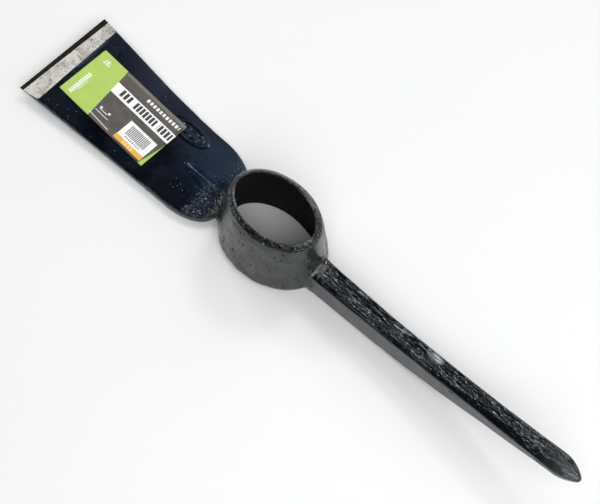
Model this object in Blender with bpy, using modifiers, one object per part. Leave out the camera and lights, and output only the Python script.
"""Forged pick-mattock head: a broad adze blade, a tapered oval eye and a four-sided pick.

The head lies on the large end of its eye, with the handle side up. X runs from the blade's
cutting edge to the pick's point, Z runs up the eye, and the origin is on the resting face, under
the middle of the head's box. Every size is in metres.
"""
import math

import bmesh
import bpy

# ---- Driving dimensions -------------------------------------------------------------------------

# How far each arm reaches from the eye's axis
EYE_TO_EDGE = 0.2385
EYE_TO_POINT = 0.2935

# The eye: the oval hole that the handle passes through, large end down
EYE_LENGTH = 0.082
EYE_WIDTH = 0.052
EYE_RIM_LENGTH = 0.070
EYE_RIM_WIDTH = 0.0455

# The socket: the wall around the eye
SOCKET_HEIGHT = 0.0668
RIM_LAND = 0.0012
RIM_WALL = 0.0056
RIM_DROP = 0.0048
BASE_WALL_ENDS = 0.0068
BASE_WALL_SIDES = 0.0120
BASE_OVAL_POWER = 1.85
BASE_ROUND_HEIGHT = 0.0076
BASE_ROUND_INSET = 0.0045
EYE_CHAMFER = 0.0012

# The adze blade
EDGE_WIDTH = 0.0925
EDGE_THICKNESS = 0.0011
BEVEL_LENGTH = 0.0185
BEVEL_DROP = 0.0016
HEEL_THICKNESS = 0.0048
BLADE_RISE = 0.0058
NECK_THICKNESS = 0.0086
WAIST_WIDTH = 0.0728
WAIST_TO_EYE = 0.0850
NECK_WIDTH = 0.0330
FLARE_POWER = 1.4
BLADE_EDGE_RADIUS = 0.0018
EDGE_CORNER_RADIUS = 0.0030
SPINE_LENGTH = 0.0450
SPINE_WIDTH = 0.0240
SPINE_HEIGHT = 0.0050

# The pick
PICK_ROOT_WIDTH = 0.0201
PICK_ROOT_HEIGHT = 0.0286
PICK_END_WIDTH = 0.0169
PICK_END_HEIGHT = 0.0097
PICK_WAISTING = 0.0105
PICK_TOP_RISE = 0.0261
PICK_TOP_POWER = 1.75
PICK_UNDER_POWER = 2.3
POINT_LENGTH = 0.0210
POINT_SIZE = 0.0032
POINT_DROP = 0.0030
PICK_CORNER_RADIUS = 0.0016

# The printed label on the blade
LABEL_LENGTH = 0.0974
LABEL_WIDTH = 0.0509
LABEL_THICKNESS = 0.0003
LABEL_SETBACK = 0.0048
LABEL_TURN = math.radians(-2.1)

# Gap left between neighbouring pieces, and how finely curves are cut
FIT_GAP = 0.0003
EYE_SEGMENTS = 64
CORNER_STEPS = 3
BLADE_STATIONS = 14
SHOULDER_STATIONS = 10
PICK_STATIONS = 18
POINT_STATIONS = 5

# ---- Values that follow from them ---------------------------------------------------------------

EYE_X = (EYE_TO_EDGE - EYE_TO_POINT) / 2
BASE_HALF_X = EYE_LENGTH / 2 + BASE_WALL_ENDS
BASE_HALF_Y = EYE_WIDTH / 2 + BASE_WALL_SIDES
BEVEL_TO_EYE = EYE_TO_EDGE - BEVEL_LENGTH
PICK_ROOT_TO_EYE = BASE_HALF_X - BASE_ROUND_INSET
BAR_LENGTH = EYE_TO_POINT - POINT_LENGTH - PICK_ROOT_TO_EYE
PICK_UNDER_RISE = PICK_ROOT_HEIGHT + PICK_TOP_RISE - PICK_END_HEIGHT
ROOT_DEPTH = 0.010
CUTTER_MARGIN = 0.020


def mix(first, last, share):
    return first + (last - first) * share


# ---- Shape helpers ------------------------------------------------------------------------------

def clear_scene():
    for item in list(bpy.data.objects):
        bpy.data.objects.remove(item, do_unlink=True)


def new_collection(name):
    collection = bpy.data.collections.new(name)
    bpy.context.scene.collection.children.link(collection)
    return collection


def material(name, colour, roughness, metallic):
    made = bpy.data.materials.new(name)
    made.use_nodes = True
    shader = made.node_tree.nodes["Principled BSDF"]
    shader.inputs["Base Color"].default_value = (*colour, 1.0)
    shader.inputs["Roughness"].default_value = roughness
    shader.inputs["Metallic"].default_value = metallic
    made.diffuse_color = (*colour, 1.0)
    return made


def loft(name, rings, collection, closed=False, sharp=40):
    """Join rings of points into one solid: capped at both ends, or closed into a loop."""
    shape = bmesh.new()
    loops = [[shape.verts.new(point) for point in ring] for ring in rings]
    following = loops[1:] + loops[:1] if closed else loops[1:]
    for near, far in zip(loops, following):
        for index in range(len(near)):
            after = (index + 1) % len(near)
            shape.faces.new((near[index], near[after], far[after], far[index]))
    if not closed:
        shape.faces.new(loops[0])
        shape.faces.new(loops[-1])
    bmesh.ops.recalc_face_normals(shape, faces=shape.faces)
    mesh = bpy.data.meshes.new(name)
    shape.to_mesh(mesh)
    shape.free()
    mesh.shade_smooth()
    mesh.set_sharp_from_angle(angle=math.radians(sharp))
    made = bpy.data.objects.new(name, mesh)
    collection.objects.link(made)
    return made


def oval(half_x, half_y, height, power=2.0):
    """A ring of points around the eye's axis, measured from that axis.

    A power of 2 is an ellipse. A lower one draws the ring in between its ends and sides.
    """
    ring = []
    for step in range(EYE_SEGMENTS):
        along, across = (math.cos(2 * math.pi * step / EYE_SEGMENTS),
                         math.sin(2 * math.pi * step / EYE_SEGMENTS))
        size = (abs(along) ** power + abs(across) ** power) ** (-1 / power)
        ring.append((half_x * along * size, half_y * across * size, height))
    return ring


def bar_section(reach, width, under, top, radius):
    """A rounded rectangle across an arm, at a distance along X from the eye's axis."""
    radius = min(radius, 0.45 * width, 0.45 * (top - under))
    half = width / 2 - radius
    corners = [(half, top - radius), (-half, top - radius),
               (-half, under + radius), (half, under + radius)]
    points = []
    for quarter, (across, height) in enumerate(corners):
        for step in range(CORNER_STEPS):
            turn = math.pi / 2 * (quarter + step / (CORNER_STEPS - 1))
            points.append((reach, across + radius * math.cos(turn),
                           height + radius * math.sin(turn)))
    return points


def cut(piece, cutter):
    """Take a cutter's shape out of a piece."""
    step = piece.modifiers.new("fit_to_socket", "BOOLEAN")
    step.operation = "DIFFERENCE"
    step.object = cutter
    step.solver = "EXACT"


# ---- The eye socket -----------------------------------------------------------------------------

def socket_outline(grow=0.0):
    """Half sizes, heights and oval powers up the outer wall, from the resting face to the rim."""
    rim_x = EYE_RIM_LENGTH / 2 + RIM_WALL
    rim_y = EYE_RIM_WIDTH / 2 + RIM_WALL
    return [(BASE_HALF_X - BASE_ROUND_INSET + grow, BASE_HALF_Y - BASE_ROUND_INSET + grow, 0.0,
             BASE_OVAL_POWER),
            (BASE_HALF_X - BASE_ROUND_INSET / 4 + grow,
             BASE_HALF_Y - BASE_ROUND_INSET / 4 + grow, BASE_ROUND_HEIGHT / 2, BASE_OVAL_POWER),
            (BASE_HALF_X + grow, BASE_HALF_Y + grow, BASE_ROUND_HEIGHT, BASE_OVAL_POWER),
            (rim_x + grow, rim_y + grow, SOCKET_HEIGHT - RIM_DROP, 2.0)]


def eye_socket(collection, steel):
    eye = [(EYE_RIM_LENGTH / 2 + RIM_LAND, EYE_RIM_WIDTH / 2 + RIM_LAND, SOCKET_HEIGHT),
           (EYE_RIM_LENGTH / 2, EYE_RIM_WIDTH / 2, SOCKET_HEIGHT),
           (EYE_LENGTH / 2, EYE_WIDTH / 2, EYE_CHAMFER),
           (EYE_LENGTH / 2 + EYE_CHAMFER, EYE_WIDTH / 2 + EYE_CHAMFER, 0.0)]
    rings = [oval(*sizes) for sizes in socket_outline() + eye]
    made = loft("eye_socket", rings, collection, closed=True)
    made.location.x = EYE_X
    made.data.materials.append(steel)
    return made


def socket_cutter(collection):
    """The socket's solid outside shape, larger by the fit gap, that the arms' roots are cut to."""
    outline = socket_outline(FIT_GAP)
    below = (outline[0][0], outline[0][1], -CUTTER_MARGIN, BASE_OVAL_POWER)
    above = (outline[-1][0], outline[-1][1], SOCKET_HEIGHT + CUTTER_MARGIN)
    rings = [oval(*sizes) for sizes in [below] + outline + [above]]
    made = loft("socket_cutter", rings, collection)
    made.location.x = EYE_X
    made.hide_render = True
    made.display_type = "WIRE"
    return made


# ---- The adze blade -----------------------------------------------------------------------------

def blade_span(reach):
    """Share of the way from the socket's outer wall to the bevel, at a distance from the axis."""
    return max(0.0, (reach - BASE_HALF_X) / (BEVEL_TO_EYE - BASE_HALF_X))


def blade_under(reach):
    return BLADE_RISE * min(1.0, blade_span(reach)) ** 2


def blade_top(reach):
    return blade_under(reach) + mix(NECK_THICKNESS, HEEL_THICKNESS, blade_span(reach))


def blade_width(reach):
    """Rounded shoulders out of the neck, then a waist that flares to the cutting edge."""
    if reach < WAIST_TO_EYE:
        share = (WAIST_TO_EYE - reach) / (WAIST_TO_EYE - BASE_HALF_X)
        return mix(NECK_WIDTH, WAIST_WIDTH, math.sqrt(1 - min(1.0, share) ** 2))
    share = (reach - WAIST_TO_EYE) / (EYE_TO_EDGE - WAIST_TO_EYE)
    return mix(WAIST_WIDTH, EDGE_WIDTH, share ** FLARE_POWER)


def spine_height(reach):
    """The ridge that stiffens the neck, highest where it runs into the socket."""
    return SPINE_HEIGHT * max(0.0, 1 - (reach - BASE_HALF_X) / SPINE_LENGTH)


def blade_section(reach):
    top = blade_top(reach)
    ring = bar_section(-reach, blade_width(reach), blade_under(reach), top, BLADE_EDGE_RADIUS)
    foot = min(SPINE_WIDTH, 0.8 * blade_width(reach)) / 2
    spine = [(-reach, foot, top), (-reach, 0.0, top + spine_height(reach)), (-reach, -foot, top)]
    return ring[:CORNER_STEPS] + spine + ring[CORNER_STEPS:]


def plain_section(ring):
    """The same outline with points across its top where the spine's points run out."""
    left, right = ring[CORNER_STEPS - 1], ring[CORNER_STEPS]
    steps = [(left[0], mix(left[1], right[1], share), left[2]) for share in (0.25, 0.5, 0.75)]
    return ring[:CORNER_STEPS] + steps + ring[CORNER_STEPS:]


def blade_stations():
    """Distances from the eye's axis, close together round the shoulders."""
    shoulder = WAIST_TO_EYE - BASE_HALF_X
    turns = [math.pi / 2 * step / SHOULDER_STATIONS for step in range(SHOULDER_STATIONS)]
    near = [WAIST_TO_EYE - shoulder * math.cos(turn) for turn in turns]
    far = [mix(WAIST_TO_EYE, BEVEL_TO_EYE, step / BLADE_STATIONS)
           for step in range(BLADE_STATIONS + 1)]
    return [BASE_HALF_X - ROOT_DEPTH] + near + far


def adze_blade(collection, steel, cutter):
    rings = [blade_section(reach) for reach in blade_stations()]
    edge_top = blade_top(BEVEL_TO_EYE) - BEVEL_DROP
    corner = bar_section(-EYE_TO_EDGE + EDGE_CORNER_RADIUS, EDGE_WIDTH,
                         edge_top - 1.6 * EDGE_THICKNESS, edge_top, EDGE_THICKNESS)
    edge = bar_section(-EYE_TO_EDGE, EDGE_WIDTH - 2 * EDGE_CORNER_RADIUS,
                       edge_top - EDGE_THICKNESS, edge_top, EDGE_THICKNESS)
    rings += [plain_section(corner), plain_section(edge)]
    made = loft("adze_blade", rings, collection)
    made.location.x = EYE_X
    made.data.materials.append(steel)
    cut(made, cutter)
    return made


# ---- The pick -----------------------------------------------------------------------------------

def pick_under(share):
    return PICK_UNDER_RISE * share ** PICK_UNDER_POWER


def pick_top(share):
    return PICK_ROOT_HEIGHT + PICK_TOP_RISE * share ** PICK_TOP_POWER


def pick_width(share):
    waisting = PICK_WAISTING * share * (1 - share)
    return mix(PICK_ROOT_WIDTH, PICK_END_WIDTH, share) - waisting


def pick_arm(collection, steel, cutter):
    rings = [bar_section(PICK_ROOT_TO_EYE - ROOT_DEPTH, PICK_ROOT_WIDTH, 0.0, PICK_ROOT_HEIGHT,
                         PICK_CORNER_RADIUS)]
    for step in range(PICK_STATIONS + 1):
        share = step / PICK_STATIONS
        rings.append(bar_section(PICK_ROOT_TO_EYE + BAR_LENGTH * share, pick_width(share),
                                 pick_under(share), pick_top(share), PICK_CORNER_RADIUS))
    tip_height = pick_top(1) - POINT_DROP
    for step in range(1, POINT_STATIONS + 1):
        share = step / POINT_STATIONS
        bulge = share ** 2
        reach = EYE_TO_POINT - POINT_LENGTH * (1 - share)
        slope = POINT_LENGTH * share * PICK_TOP_RISE * PICK_TOP_POWER / BAR_LENGTH
        under = mix(pick_under(1), tip_height - POINT_SIZE / 2, bulge) + slope * (1 - share)
        top = mix(pick_top(1), tip_height + POINT_SIZE / 2, bulge) + slope * (1 - share)
        rings.append(bar_section(reach, mix(PICK_END_WIDTH, POINT_SIZE, bulge), under, top,
                                 PICK_CORNER_RADIUS))
    made = loft("pick_arm", rings, collection)
    made.location.x = EYE_X
    made.data.materials.append(steel)
    cut(made, cutter)
    return made


# ---- The label ----------------------------------------------------------------------------------

def label(collection, paper):
    """A thin printed sheet that follows the blade's upper face, set back from the bevel."""
    middle = BEVEL_TO_EYE - LABEL_SETBACK - LABEL_LENGTH / 2
    shape = bmesh.new()
    bmesh.ops.create_grid(shape, x_segments=12, y_segments=4, size=0.5)
    for vert in shape.verts:
        along, across = vert.co.x * LABEL_LENGTH, vert.co.y * LABEL_WIDTH
        reach = middle - along * math.cos(LABEL_TURN) + across * math.sin(LABEL_TURN)
        side = along * math.sin(LABEL_TURN) + across * math.cos(LABEL_TURN)
        vert.co = (-reach, side, blade_top(reach) + FIT_GAP)
    mesh = bpy.data.meshes.new("label")
    shape.to_mesh(mesh)
    shape.free()
    made = bpy.data.objects.new("label", mesh)
    collection.objects.link(made)
    made.location.x = EYE_X
    sheet = made.modifiers.new("sheet", "SOLIDIFY")
    sheet.thickness = LABEL_THICKNESS
    sheet.offset = 1.0
    mesh.materials.append(paper)
    return made


def build():
    clear_scene()
    parts = new_collection("pick_mattock_head")
    cutters = new_collection("cutters")
    blue_black = material("blue_black_paint", (0.018, 0.022, 0.034), 0.35, 0.3)
    grey_steel = material("grey_forged_steel", (0.060, 0.064, 0.060), 0.45, 0.6)
    green_print = material("green_printed_label", (0.42, 0.66, 0.12), 0.40, 0.0)
    cutter = socket_cutter(cutters)
    eye_socket(parts, grey_steel)
    adze_blade(parts, blue_black, cutter)
    pick_arm(parts, grey_steel, cutter)
    label(parts, green_print)


build()
